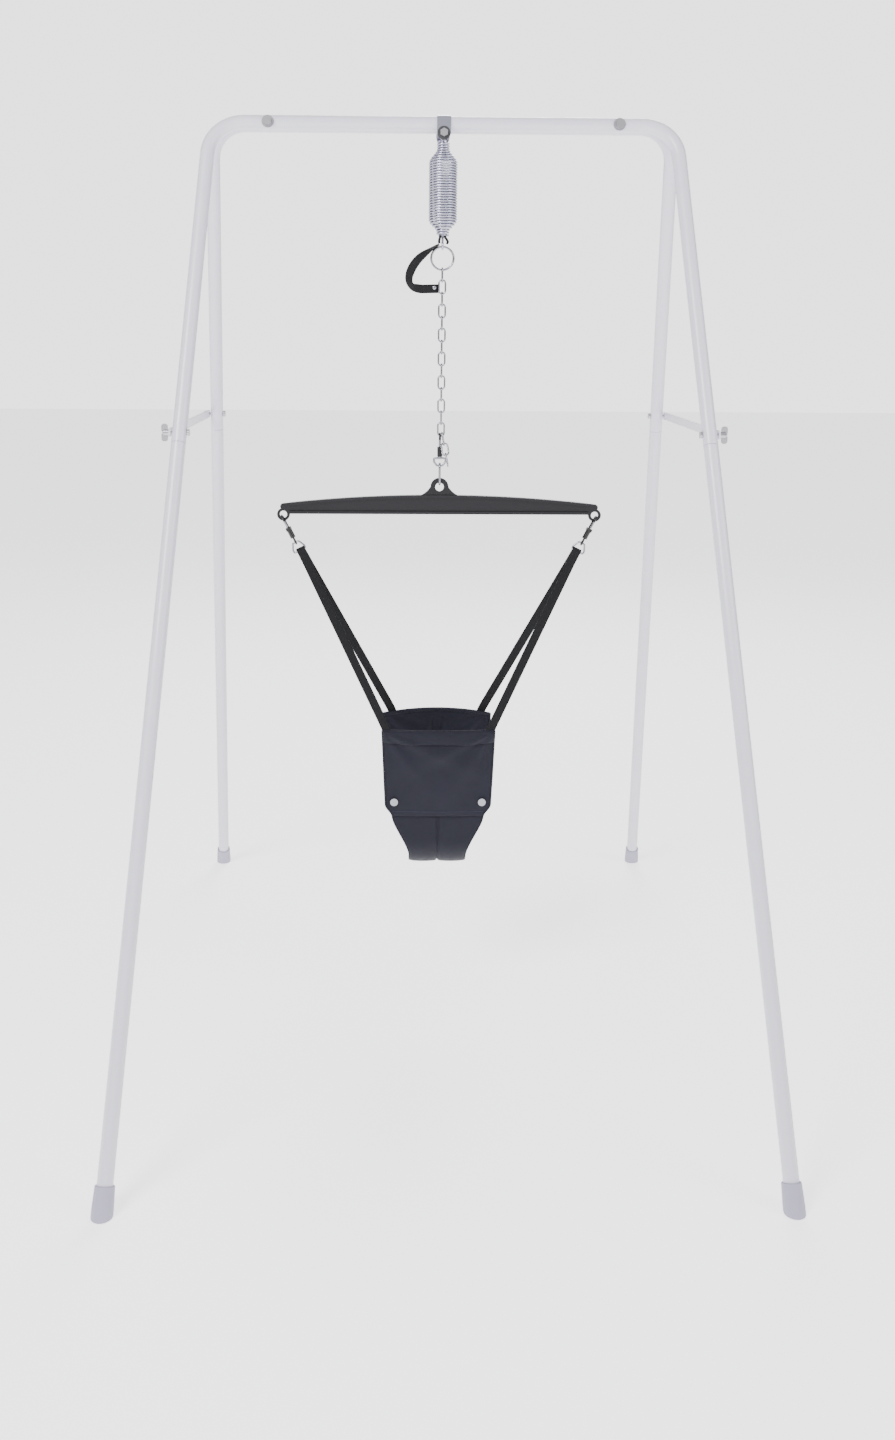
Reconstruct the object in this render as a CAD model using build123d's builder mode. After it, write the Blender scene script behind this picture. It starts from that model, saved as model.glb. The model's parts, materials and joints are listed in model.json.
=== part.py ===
from build123d import *
from math import atan2, cos, degrees, hypot, radians, sin, sqrt, tan
import os

os.makedirs("parts", exist_ok=True)

# All sizes in mm. X is the width, -Y the front, +Z up, and the floor is Z = 0.

# Stand: two U frames leaning away from each other, joined at their top bars
BAR_HEIGHT = 1700.0
FEET_DEPTH = 1462.0
FEET_WIDTH = 1058.0
TOP_WIDTH = 843.0
BEND_R = 65.0
TUBE_OD = 25.4
TUBE_WALL = 1.2
BAR_GAP = 3.6
SEAM_DROP = 609.0
INSERT_LENGTH = 60.0
FIT_GAP = 0.1
FOLD_ANGLE = 21.0

# Feet
CAP_HEIGHT = 46.0
CAP_WALL = 2.9
CAP_FLARE = 1.4
CAP_FLOOR = 12.0

# Head bolts, spacers and the clamp that the jumper hangs from
HEAD_BOLT_X = 317.0
HEAD_BOLT_R = 4.0
HEAD_WASHER_R = 11.0
HEAD_WASHER = 1.6
HEAD_HEX = 13.0
NUT_HEIGHT = 7.0
SLOT_GAP = 0.4
MOVING_GAP = 0.3
CLAMP_WIDTH = 25.0
CLAMP_WALL = 2.0
CLAMP_BOLT_R = 4.0
CLAMP_WASHER_R = 12.0

# Side braces
FRONT_BOLT_DROP = 590.0
REAR_BOLT_DROP = 577.0
BRACE_HEIGHT = 15.0
BRACE_THICK = 3.0
BRACE_STANDOFF = 2.0
BRACE_BOLT_R = 3.0
BRACE_FOLD_RATIO = 3.15
BRACE_SLOT_GAP = 0.5
WING_HUB_R = 5.8
WING_HUB_LENGTH = 9.0
WING_SPAN = 15.0
WING_THICK = 2.6

# Spring
SPRING_LENGTH = 168.0
SPRING_R = 26.4
SPRING_NECK_R = 11.8
SPRING_WIRE = 4.0
TOP_NECK = 16.0
TOP_SHOULDER = 22.0
BOTTOM_NECK = 8.0
BOTTOM_SHOULDER = 19.0
EYE_PLATE_R = 8.0
EYE_PLATE_THICK = 6.0
EYE_SHANK_R = 2.4

# Ring and chain
EYE_R = 6.0
EYE_WIRE_R = 2.0
RING_R = 20.75
RING_WIRE_R = 2.0
LINK_WIRE_R = 1.6
LINK_PITCH = 21.9
LINK_HALF_WIDTH = 6.0
LINK_COUNT = 14
TAIL_LINKS = 3
TAIL_LEAN = 10.0
TAIL_FORWARD = 28.0
TAIL_PLAY = 0.1
LINK_GAP = 0.1

# Snap hooks
HOOK_WIRE_R = 2.0
HOOK_BEND_ROOM = 5.4
HOOK_LOOP = 18.0
HOOK_BASE = 6.0
HOOK_BARREL_R = 5.0
CHAIN_BARREL = 12.0
END_BARREL = 16.0
GATE_R = 1.9
GATE_GAP = 0.5
GATE_FOOT_GAP = 1.3
HOOK_SIDE_STEP = 1.9

# Swivel ring and the link to the spreader
SWIVEL_HALF_WIDTH = 11.0
SWIVEL_HEIGHT = 14.0
SWIVEL_BEND_R = 2.5
CONNECTOR_LENGTH = 40.0
CONNECTOR_HALF_WIDTH = 8.0
CONNECTOR_WIRE_R = 2.0
CONNECTOR_PLAY = 1.5

# Spreader bar
END_HOLE_X = 298.75
END_HOLE_R = 7.0
TOP_HOLE_R = 8.3
TOP_HOLE_RISE = 53.4
LUG_R = 17.2
LUG_BASE_HALF = 61.0
BAR_CROWN = 36.5
BAR_END_HEIGHT = 23.5
BAR_END_R = 12.2
BAR_WEB = 5.0
BAR_RIB_THICK = 14.0
BAR_RIB = 5.0
LUG_THICK = 8.0
LUG_ROOT = 3.0

# Seat
SEAT_DROP = 401.7
SEAT_TOP_Y = 65.0
SEAT_BEND_R = 60.0
SEAT_HEIGHT = 287.0
SEAT_THICK = 6.0
PANEL_HEIGHT = 175.0
PANEL_TOP_HALF = 108.0
PANEL_LOW_HALF = 101.5
HEM_HALF = 88.0
HEM_CORNER = 20.0
BACK_ARCH = 11.0
CROTCH_MID_HALF = 66.0
CROTCH_LOW_HALF = 54.0
CROTCH_MID_DROP = 38.0
CROTCH_LOW_DROP = 93.0
BAND_HEIGHT = 21.0
BAND_THICK = 2.0
SNAP_R = 7.5
SNAP_THICK = 3.0
SNAP_X = 85.6
SNAP_RISE = 31.0
SOFT_GAP = 0.3
STRAP_WIDTH = 16.0
STRAP_THICK = 2.0
STRAP_X = 94.0
D_WIRE_R = 1.8
D_HALF_WIDTH = 12.0
D_SIDE = 6.0
D_HEIGHT = 18.0

# What follows from the sizes above
TUBE_R = TUBE_OD / 2
CAP_TOP_R = TUBE_R + CAP_WALL
CAP_BASE_R = CAP_TOP_R + CAP_FLARE
HOOK_BEND_R = HOOK_WIRE_R + HOOK_BEND_ROOM
BORE_R = TUBE_R - TUBE_WALL
BAR_Y = TUBE_R + BAR_GAP / 2
LEAN = atan2(FEET_DEPTH / 2 - BAR_Y, BAR_HEIGHT)
LEG_DROP = hypot(FEET_DEPTH / 2 - BAR_Y, BAR_HEIGHT)
FLARE = atan2((FEET_WIDTH - TOP_WIDTH) / 2, LEG_DROP)
FRONT = -1
REAR = 1
SIDES = {"left": -1, "right": 1}


def save(builder, name):
    builder.part.label = name
    export_step(builder.part, f"parts/{name}.step")


def frame_plane(end):
    """Plane of one U frame: X along the top bar, Y up the legs."""
    return Plane(
        origin=(0, end * BAR_Y, BAR_HEIGHT),
        x_dir=(1, 0, 0),
        z_dir=(0, -cos(LEAN), -end * sin(LEAN)),
    )


def leg_x(drop):
    return TOP_WIDTH / 2 + drop * tan(FLARE)


def leg_point(end, hand, drop):
    return frame_plane(end).from_local_coords(Vector(hand * leg_x(drop), -drop, 0))


def leg_plane(end, hand, drop):
    """Plane through a leg's axis, with its Y pointing up the leg."""
    frame = frame_plane(end)
    across = frame.x_dir * cos(FLARE) + frame.y_dir * (hand * sin(FLARE))
    return Plane(origin=leg_point(end, hand, drop), x_dir=across, z_dir=frame.z_dir)


def side_cylinder(point, radius, length, **options):
    """A cylinder along X, centred on a point."""
    with Locations(Plane(origin=point, z_dir=(1, 0, 0))):
        Cylinder(radius, length, **options)


def depth_cylinder(point, radius, length, **options):
    """A cylinder along Y, centred on a point."""
    with Locations(Plane(origin=point, z_dir=(0, 1, 0))):
        Cylinder(radius, length, **options)


def hex_prism(point, direction, flats, height):
    """A hexagon nut or head that starts at a point and grows along a direction."""
    with BuildSketch(Plane(origin=point, z_dir=direction)) as hexagon:
        RegularPolygon(flats / 2, 6, major_radius=False)
    extrude(hexagon.sketch, amount=height)


# Upper frames: one bent tube each, slotted for the head bolts
SLOT_TRAVEL = TUBE_R * sin(radians(FOLD_ANGLE)) + SLOT_GAP
BOLT_DROP = {FRONT: FRONT_BOLT_DROP, REAR: REAR_BOLT_DROP}


def upper_frame(end):
    frame = frame_plane(end)
    low = SEAM_DROP - FIT_GAP
    corners = [(-leg_x(low), -low), (-leg_x(0), 0), (leg_x(0), 0), (leg_x(low), -low)]
    with BuildPart() as tube:
        with BuildLine(frame) as path:
            FilletPolyline(*corners, radius=BEND_R)
        route = path.wires()[0]
        with BuildSketch(Plane(origin=route @ 0, z_dir=route % 0)):
            Circle(TUBE_R)
            Circle(BORE_R, mode=Mode.SUBTRACT)
        sweep()
        for side in SIDES.values():
            spread = 2 * TUBE_OD
            side_cylinder(
                leg_point(end, side, BOLT_DROP[end]), BRACE_BOLT_R + FIT_GAP, spread, mode=Mode.SUBTRACT
            )
            for wall in (FRONT, REAR):
                rise = end * wall * SLOT_TRAVEL / 2
                with BuildSketch(Plane(origin=(0, end * BAR_Y, BAR_HEIGHT), x_dir=(1, 0, 0), z_dir=(0, -1, 0))):
                    with Locations((side * HEAD_BOLT_X, rise)):
                        SlotCenterToCenter(SLOT_TRAVEL, 2 * (HEAD_BOLT_R + SLOT_GAP), rotation=90)
                extrude(amount=-wall * TUBE_OD, mode=Mode.SUBTRACT)
    return tube


rear_upper_frame = upper_frame(REAR)
save(rear_upper_frame, "rear_upper_frame")
front_upper_frame = upper_frame(FRONT)
save(front_upper_frame, "front_upper_frame")

# Lower legs: the swaged top end slides into the upper tube, a cap closes the foot
SWAGE_R = BORE_R - FIT_GAP
SWAGE_STEP = 3.0
SHOULDER = 1.0
LEG_LENGTH = (LEG_DROP - SEAM_DROP) / cos(FLARE) - CAP_FLOOR


def lower_leg(end, hand):
    plane = leg_plane(end, hand, SEAM_DROP)
    profile = [
        (BORE_R, -LEG_LENGTH),
        (TUBE_R, -LEG_LENGTH),
        (TUBE_R, -SHOULDER),
        (SWAGE_R, 0),
        (SWAGE_R, INSERT_LENGTH),
        (SWAGE_R - TUBE_WALL, INSERT_LENGTH),
        (SWAGE_R - TUBE_WALL, 0),
        (BORE_R, -SWAGE_STEP),
    ]
    with BuildPart() as leg:
        with BuildSketch(plane):
            with BuildLine():
                Polyline(*profile, close=True)
            make_face()
        revolve(axis=Axis(plane.origin, plane.y_dir))
        side_cylinder(
            leg_point(end, hand, BOLT_DROP[end]), BRACE_BOLT_R + FIT_GAP, 2 * TUBE_OD, mode=Mode.SUBTRACT
        )
    return leg


CAP_RIM = 1.0
CAP_EDGE = 2.0


def foot_cap(end, hand):
    plane = leg_plane(end, hand, LEG_DROP)
    profile = [
        (0, -CAP_BASE_R),
        (CAP_BASE_R, -CAP_BASE_R),
        (CAP_BASE_R, CAP_FLOOR),
        (CAP_TOP_R, CAP_HEIGHT - CAP_RIM),
        (CAP_TOP_R - CAP_RIM, CAP_HEIGHT),
        (TUBE_R + FIT_GAP, CAP_HEIGHT),
        (TUBE_R + FIT_GAP, CAP_FLOOR - FIT_GAP),
        (0, CAP_FLOOR - FIT_GAP),
    ]
    with BuildPart() as cap:
        with BuildSketch(plane):
            with BuildLine():
                Polyline(*profile, close=True)
            make_face()
        revolve(axis=Axis(plane.origin, plane.y_dir))
        split(bisect_by=Plane.XY, keep=Keep.TOP)
        fillet(cap.edges().group_by(Axis.Z)[0], CAP_EDGE)
    return cap


for end_name, end in (("rear", REAR), ("front", FRONT)):
    for hand_name, hand in SIDES.items():
        save(lower_leg(end, hand), f"{end_name}_lower_leg_{hand_name}")
        save(foot_cap(end, hand), f"{end_name}_foot_{hand_name}")

# Head: two bolts through both bars. The left one has its head in front, the right one behind.
HEAD_FACE = BAR_Y + TUBE_R + MOVING_GAP
SPACER_R = 8.0
with BuildPart() as head_bolts:
    for side in SIDES.values():
        centre = (side * HEAD_BOLT_X, 0, BAR_HEIGHT)
        reach = 2 * (HEAD_FACE + HEAD_WASHER + NUT_HEIGHT + 1)
        depth_cylinder(centre, HEAD_BOLT_R, reach)
        start = side * (HEAD_FACE + HEAD_WASHER + FIT_GAP)
        hex_prism((side * HEAD_BOLT_X, start, BAR_HEIGHT), (0, side, 0), HEAD_HEX, NUT_HEIGHT + 1)
save(head_bolts, "head_bolts")

with BuildPart() as head_washers:
    for side in SIDES.values():
        for end in (FRONT, REAR):
            middle = end * (HEAD_FACE + HEAD_WASHER / 2)
            depth_cylinder((side * HEAD_BOLT_X, middle, BAR_HEIGHT), HEAD_WASHER_R, HEAD_WASHER)
        depth_cylinder(
            (side * HEAD_BOLT_X, 0, BAR_HEIGHT), HEAD_BOLT_R + FIT_GAP, 4 * HEAD_FACE, mode=Mode.SUBTRACT
        )
save(head_washers, "head_washers")

with BuildPart() as head_nuts:
    for side in SIDES.values():
        start = -side * (HEAD_FACE + HEAD_WASHER + FIT_GAP)
        hex_prism((side * HEAD_BOLT_X, start, BAR_HEIGHT), (0, -side, 0), HEAD_HEX, NUT_HEIGHT)
        depth_cylinder(
            (side * HEAD_BOLT_X, 0, BAR_HEIGHT), HEAD_BOLT_R + FIT_GAP, 4 * HEAD_FACE, mode=Mode.SUBTRACT
        )
save(head_nuts, "head_nuts")

with BuildPart() as head_spacers:
    for side in SIDES.values():
        depth_cylinder((side * HEAD_BOLT_X, 0, BAR_HEIGHT), SPACER_R, BAR_GAP - 2 * MOVING_GAP)
        depth_cylinder(
            (side * HEAD_BOLT_X, 0, BAR_HEIGHT), HEAD_BOLT_R + FIT_GAP, BAR_GAP, mode=Mode.SUBTRACT
        )
save(head_spacers, "head_spacers")

# Hanger clamp: a strap over both bars whose ears carry the clamp bolt below them
CLAMP_BOLT_Z = BAR_HEIGHT - TUBE_R - CLAMP_BOLT_R - 0.8
EAR_DROP = BAR_HEIGHT - CLAMP_BOLT_Z + 10.0
CLAMP_IN = TUBE_R + MOVING_GAP
CLAMP_OUT = CLAMP_IN + CLAMP_WALL


def clamp_section(radius):
    """Both bars' outline at a radius, with straight sides down to the ears' ends."""
    SlotCenterToCenter(2 * BAR_Y, 2 * radius)
    with Locations((0, -EAR_DROP / 2)):
        Rectangle(2 * (BAR_Y + radius), EAR_DROP)


with BuildPart() as hanger_clamp:
    with BuildSketch(Plane(origin=(0, 0, BAR_HEIGHT), x_dir=(0, 1, 0), z_dir=(1, 0, 0))):
        clamp_section(CLAMP_OUT)
        SlotCenterToCenter(2 * BAR_Y, 2 * CLAMP_IN, mode=Mode.SUBTRACT)
        with Locations((0, -EAR_DROP / 2)):
            Rectangle(2 * (BAR_Y + CLAMP_IN), EAR_DROP, mode=Mode.SUBTRACT)
    extrude(amount=CLAMP_WIDTH / 2, both=True)
    low_corners = hanger_clamp.edges().filter_by(Axis.Y).group_by(Axis.Z)[0]
    fillet(low_corners, CLAMP_WIDTH / 2 - 1)
    depth_cylinder((0, 0, CLAMP_BOLT_Z), CLAMP_BOLT_R + FIT_GAP, 4 * CLAMP_OUT, mode=Mode.SUBTRACT)
save(hanger_clamp, "hanger_clamp")

CLAMP_FACE = BAR_Y + CLAMP_OUT + FIT_GAP
with BuildPart() as clamp_bolt:
    depth_cylinder((0, 0, CLAMP_BOLT_Z), CLAMP_BOLT_R, 2 * (CLAMP_FACE + HEAD_WASHER + NUT_HEIGHT + 1))
    head_start = -(CLAMP_FACE + HEAD_WASHER + FIT_GAP)
    hex_prism((0, head_start, CLAMP_BOLT_Z), (0, -1, 0), HEAD_HEX, NUT_HEIGHT + 2)
save(clamp_bolt, "clamp_bolt")

with BuildPart() as clamp_washers:
    for end in (FRONT, REAR):
        middle = end * (CLAMP_FACE + HEAD_WASHER / 2)
        depth_cylinder((0, middle, CLAMP_BOLT_Z), CLAMP_WASHER_R, HEAD_WASHER)
    depth_cylinder((0, 0, CLAMP_BOLT_Z), CLAMP_BOLT_R + FIT_GAP, 4 * CLAMP_FACE, mode=Mode.SUBTRACT)
save(clamp_washers, "clamp_washers")

with BuildPart() as clamp_nut:
    hex_prism((0, -head_start, CLAMP_BOLT_Z), (0, 1, 0), HEAD_HEX, NUT_HEIGHT)
    depth_cylinder((0, 0, CLAMP_BOLT_Z), CLAMP_BOLT_R + FIT_GAP, 4 * CLAMP_FACE, mode=Mode.SUBTRACT)
save(clamp_nut, "clamp_nut")

# Side braces: flat bars pinned to the rear legs, hooked over bolts on the front legs
REAR_PIN = leg_point(REAR, 1, REAR_BOLT_DROP)
FRONT_PIN = leg_point(FRONT, 1, FRONT_BOLT_DROP)
BRACE_RUN = hypot(REAR_PIN.Y - FRONT_PIN.Y, REAR_PIN.Z - FRONT_PIN.Z)
BRACE_IN = max(REAR_PIN.X, FRONT_PIN.X) + TUBE_R + BRACE_STANDOFF
BRACE_MID = BRACE_IN + BRACE_THICK / 2
BRACE_OUT = BRACE_IN + BRACE_THICK
# As the stand folds, the front bolt leaves the hook down and rearward along this direction
PIN_LEAVES_Y = 2 * (BAR_HEIGHT - FRONT_PIN.Z)
PIN_LEAVES_Z = 2 * FRONT_PIN.Y - BRACE_FOLD_RATIO * (REAR_PIN.Y - FRONT_PIN.Y)
SLOT_DIRECTION = Vector(0, PIN_LEAVES_Y, PIN_LEAVES_Z).normalized()


def brace(hand):
    toward_front = Vector(0, FRONT_PIN.Y - REAR_PIN.Y, FRONT_PIN.Z - REAR_PIN.Z).normalized()
    plane = Plane(
        origin=(hand * BRACE_MID, REAR_PIN.Y, REAR_PIN.Z), x_dir=toward_front, z_dir=(1, 0, 0)
    )
    slot = plane.to_local_coords(SLOT_DIRECTION + plane.origin)
    slot_angle = degrees(atan2(slot.Y, slot.X))
    slot_half = BRACE_BOLT_R + BRACE_SLOT_GAP
    with BuildPart() as bar:
        with BuildSketch(plane):
            with Locations((BRACE_RUN / 2, 0)):
                SlotCenterToCenter(BRACE_RUN, BRACE_HEIGHT)
            Circle(BRACE_BOLT_R + FIT_GAP, mode=Mode.SUBTRACT)
            with Locations((BRACE_RUN, 0)):
                Circle(slot_half, mode=Mode.SUBTRACT)
                Rectangle(
                    BRACE_HEIGHT,
                    2 * slot_half,
                    rotation=slot_angle,
                    align=(Align.MIN, Align.CENTER),
                    mode=Mode.SUBTRACT,
                )
        extrude(amount=BRACE_THICK / 2, both=True)
    return bar


for hand_name, hand in SIDES.items():
    save(brace(hand), f"brace_{hand_name}")

BOLT_HEAD_R = 6.0
BOLT_HEAD = 4.0
STANDOFF_R = 6.0


def brace_bolt(pin, hand, outer_x):
    """A domed bolt through a leg: its head on the inner side, its thread outside."""
    inner_x = pin.X - TUBE_R / cos(FLARE) - BOLT_HEAD_R * tan(FLARE) - FIT_GAP
    middle = (inner_x - BOLT_HEAD / 2 + outer_x) / 2
    side_cylinder((hand * middle, pin.Y, pin.Z), BRACE_BOLT_R, outer_x - inner_x + BOLT_HEAD / 2)
    side_cylinder((hand * (inner_x - BOLT_HEAD / 2), pin.Y, pin.Z), BOLT_HEAD_R, BOLT_HEAD)


NUT_START = BRACE_OUT + MOVING_GAP
with BuildPart() as rear_brace_bolts:
    for hand in SIDES.values():
        brace_bolt(REAR_PIN, hand, NUT_START + NUT_HEIGHT + 1)
save(rear_brace_bolts, "rear_brace_bolts")

BRACE_NUT = 10.0
with BuildPart() as rear_brace_nuts:
    for hand in SIDES.values():
        hex_prism((hand * NUT_START, REAR_PIN.Y, REAR_PIN.Z), (hand, 0, 0), BRACE_NUT, NUT_HEIGHT)
        side_cylinder(
            (hand * NUT_START, REAR_PIN.Y, REAR_PIN.Z), BRACE_BOLT_R + FIT_GAP, 4 * NUT_HEIGHT, mode=Mode.SUBTRACT
        )
save(rear_brace_nuts, "rear_brace_nuts")

with BuildPart() as front_brace_bolts:
    for hand in SIDES.values():
        brace_bolt(FRONT_PIN, hand, NUT_START + WING_HUB_LENGTH + 3)
save(front_brace_bolts, "front_brace_bolts")

WING_LENGTH = 11.0
WING_TILT = 2.0


def wing_nut(hand):
    hub_middle = NUT_START + WING_HUB_LENGTH / 2
    with BuildPart() as nut:
        side_cylinder((hand * hub_middle, FRONT_PIN.Y, FRONT_PIN.Z), WING_HUB_R, WING_HUB_LENGTH)
        for up in (-1, 1):
            ear = Plane(
                origin=(hand * (NUT_START + WING_TILT), FRONT_PIN.Y, FRONT_PIN.Z),
                x_dir=(hand, 0, 0),
                z_dir=(0, 1, 0),
            )
            rise = up * ear.y_dir.Z
            with BuildSketch(ear):
                with Locations((WING_LENGTH / 2, rise * (WING_SPAN / 2))):
                    RectangleRounded(WING_LENGTH, WING_SPAN, WING_LENGTH / 2 - 1)
            extrude(amount=WING_THICK / 2, both=True)
        side_cylinder(
            (hand * hub_middle, FRONT_PIN.Y, FRONT_PIN.Z), BRACE_BOLT_R + FIT_GAP, 4 * WING_SPAN, mode=Mode.SUBTRACT
        )
    return nut


for hand_name, hand in SIDES.items():
    save(wing_nut(hand), f"wing_nut_{hand_name}")

# Spring: a closed shell of the coil's outer shape, a hanger plug in its top, an eye plug below
SPRING_TOP = CLAMP_BOLT_Z - EYE_PLATE_R - 1.5
SPRING_BOTTOM = SPRING_TOP - SPRING_LENGTH
PLUG_R = SPRING_NECK_R - SPRING_WIRE - SOFT_GAP
with BuildPart() as coil_spring:
    with BuildSketch(Plane.XZ):
        inner = SPRING_WIRE
        with BuildLine():
            Polyline(
                (SPRING_NECK_R, SPRING_TOP),
                (SPRING_NECK_R, SPRING_TOP - TOP_NECK),
                (SPRING_R, SPRING_TOP - TOP_NECK - TOP_SHOULDER),
                (SPRING_R, SPRING_BOTTOM + BOTTOM_NECK + BOTTOM_SHOULDER),
                (SPRING_NECK_R, SPRING_BOTTOM + BOTTOM_NECK),
                (SPRING_NECK_R, SPRING_BOTTOM),
                (SPRING_NECK_R - inner, SPRING_BOTTOM),
                (SPRING_NECK_R - inner, SPRING_BOTTOM + BOTTOM_NECK),
                (SPRING_R - inner, SPRING_BOTTOM + BOTTOM_NECK + BOTTOM_SHOULDER),
                (SPRING_R - inner, SPRING_TOP - TOP_NECK - TOP_SHOULDER),
                (SPRING_NECK_R - inner, SPRING_TOP - TOP_NECK),
                (SPRING_NECK_R - inner, SPRING_TOP),
                close=True,
            )
        make_face()
    revolve(axis=Axis.Z)
save(coil_spring, "coil_spring")

with BuildPart() as spring_hanger:
    depth_cylinder((0, 0, CLAMP_BOLT_Z), EYE_PLATE_R, EYE_PLATE_THICK)
    with BuildSketch(Plane.XY.offset(SPRING_TOP - TOP_NECK)):
        Circle(PLUG_R)
    extrude(amount=TOP_NECK)
    with BuildSketch(Plane.XY.offset(SPRING_TOP - 1)):
        Circle(EYE_SHANK_R)
    extrude(amount=EYE_PLATE_R / 2)
    depth_cylinder((0, 0, CLAMP_BOLT_Z), CLAMP_BOLT_R + FIT_GAP, TUBE_OD, mode=Mode.SUBTRACT)
save(spring_hanger, "spring_hanger")

LOOP_DROP = 11.0
EYE_Z = SPRING_BOTTOM - LOOP_DROP - EYE_R
with BuildPart() as spring_eye:
    with BuildSketch(Plane.XY.offset(SPRING_BOTTOM - 1)):
        Circle(PLUG_R)
    extrude(amount=BOTTOM_NECK + 4)
    with BuildSketch(Plane.XY.offset(EYE_Z + EYE_R)):
        Circle(EYE_WIRE_R)
    extrude(amount=LOOP_DROP)
    with Locations(Plane(origin=(0, 0, EYE_Z), z_dir=(1, 0, 0))):
        Torus(EYE_R, EYE_WIRE_R)
save(spring_eye, "spring_eye")

# Safety loop: a flat webbing arch that straddles the eye's shank
ARCH_OUT = 11.0
ARCH_IN = 5.0
ARCH_DEPTH = 8.0
with BuildPart() as safety_loop:
    arch_top = SPRING_BOTTOM - 1 - SOFT_GAP
    with BuildSketch(Plane.XZ):
        with BuildLine():
            Polyline(
                (-ARCH_IN, arch_top),
                (ARCH_IN, arch_top),
                (ARCH_OUT, arch_top - LOOP_DROP + 2),
                (ARCH_IN, arch_top - LOOP_DROP + 2),
                (EYE_WIRE_R + SOFT_GAP, arch_top - 3),
                (-EYE_WIRE_R - SOFT_GAP, arch_top - 3),
                (-ARCH_IN, arch_top - LOOP_DROP + 2),
                (-ARCH_OUT, arch_top - LOOP_DROP + 2),
                close=True,
            )
        make_face()
    extrude(amount=ARCH_DEPTH / 2, both=True)
    with BuildSketch(Plane.XY.offset(EYE_Z)):
        Circle(EYE_WIRE_R + SOFT_GAP)
    extrude(amount=LOOP_DROP + EYE_R + 4, mode=Mode.SUBTRACT)
save(safety_loop, "safety_loop")

# Ring and chain
RING_TOP = EYE_Z - (EYE_R - EYE_WIRE_R - RING_WIRE_R - LINK_GAP)
RING_Z = RING_TOP - RING_R
with BuildPart() as suspension_ring:
    with Locations(Plane(origin=(0, 0, RING_Z), z_dir=(0, 1, 0))):
        Torus(RING_R, RING_WIRE_R)
save(suspension_ring, "suspension_ring")


def wire_loop(plane, half_width, half_height, wire_r):
    """A closed link of round wire: two straight sides and two half-circle ends."""
    straight = half_height - half_width
    with BuildLine(plane) as route:
        Line((half_width, -straight), (half_width, straight))
        ThreePointArc((half_width, straight), (0, half_height), (-half_width, straight))
        Line((-half_width, straight), (-half_width, -straight))
        ThreePointArc((-half_width, -straight), (0, -half_height), (half_width, -straight))
    path = route.wires()[0]
    with BuildSketch(Plane(origin=path @ 0, z_dir=path % 0)) as wire:
        Circle(wire_r)
    sweep(wire.sketch, path=path)


LINK_HALF = (LINK_PITCH + LINK_GAP) / 2 + LINK_WIRE_R
FIRST_LINK_Z = RING_Z - RING_R + RING_WIRE_R + LINK_GAP + LINK_WIRE_R - LINK_HALF
LAST_LINK_Z = FIRST_LINK_Z - (LINK_COUNT - 1) * LINK_PITCH
ACROSS = {"x_dir": (1, 0, 0), "z_dir": (0, -1, 0)}
ALONG = {"x_dir": (0, 1, 0), "z_dir": (1, 0, 0)}
with BuildPart() as chain_links:
    for number in range(LINK_COUNT):
        centre = (0, 0, FIRST_LINK_Z - number * LINK_PITCH)
        facing = ALONG if number % 2 == 0 else ACROSS
        wire_loop(Plane(origin=centre, **facing), LINK_HALF_WIDTH, LINK_HALF, LINK_WIRE_R)
save(chain_links, "chain_links")

# The last link holds the hook and the tail side by side in its lower bend
BEND_Z = LAST_LINK_Z - LINK_HALF + LINK_HALF_WIDTH
BEND_ROOM = LINK_HALF_WIDTH - LINK_WIRE_R
HOOK_X = -HOOK_SIDE_STEP
HOOK_SEAT = sqrt((BEND_ROOM - HOOK_WIRE_R - LINK_GAP) ** 2 - HOOK_SIDE_STEP**2)
HOOK_TOP_Z = BEND_Z - HOOK_SEAT
TAIL_X = HOOK_X + HOOK_WIRE_R + LINK_WIRE_R + 2 * LINK_GAP
TAIL_Z = BEND_Z + TAIL_PLAY
tail_turn = radians(TAIL_LEAN)
tail_lift = radians(TAIL_FORWARD)
TAIL_RIGHT = Vector(cos(tail_turn), 0, sin(tail_turn))
hanging = Vector(sin(tail_turn), 0, -cos(tail_turn))
TAIL_DOWN = hanging * cos(tail_lift) + Vector(0, -sin(tail_lift), 0)
TAIL_OUT = Vector(0, -cos(tail_lift), 0) - hanging * sin(tail_lift)
with BuildPart() as chain_tail:
    for number in range(TAIL_LINKS):
        centre = Vector(TAIL_X, 0, TAIL_Z) + TAIL_DOWN * (LINK_HALF + number * LINK_PITCH)
        if number % 2 == 0:
            tail_plane = Plane(origin=centre, x_dir=TAIL_OUT, z_dir=TAIL_RIGHT)
        else:
            tail_plane = Plane(origin=centre, x_dir=TAIL_RIGHT, z_dir=TAIL_OUT)
        wire_loop(tail_plane, LINK_HALF_WIDTH, LINK_HALF, LINK_WIRE_R)
save(chain_tail, "chain_tail")

# Safety strap: webbing from the ring out to the left and back to the chain
STRAP_ROUTE = [(-7, 25), (-22, 15.5), (-42, 0), (-57, -18), (-62, -36), (-57, -50), (-43, -55), (-9, -55)]
with BuildPart() as safety_strap:
    with BuildSketch(Plane(origin=(0, 0, RING_Z), x_dir=(1, 0, 0), z_dir=(0, -1, 0))):
        stops = [Vector(x, z) for x, z in STRAP_ROUTE]
        for start, stop in zip(stops, stops[1:]):
            middle = (start + stop) / 2
            run = stop - start
            with Locations((middle.X, middle.Y)):
                SlotCenterToCenter(run.length, STRAP_THICK, rotation=degrees(atan2(run.Y, run.X)))
    extrude(amount=STRAP_WIDTH / 2, both=True)
save(safety_strap, "safety_strap")

RIVET_X = -14.0
with BuildPart() as strap_rivet:
    rivet_z = RING_Z + STRAP_ROUTE[-1][1] + 1.1
    with BuildSketch(Plane.XY.offset(rivet_z - STRAP_THICK / 2 - 3.1)):
        with Locations((RIVET_X, 0)):
            Circle(4)
    extrude(amount=2)
save(strap_rivet, "strap_rivet")


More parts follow.
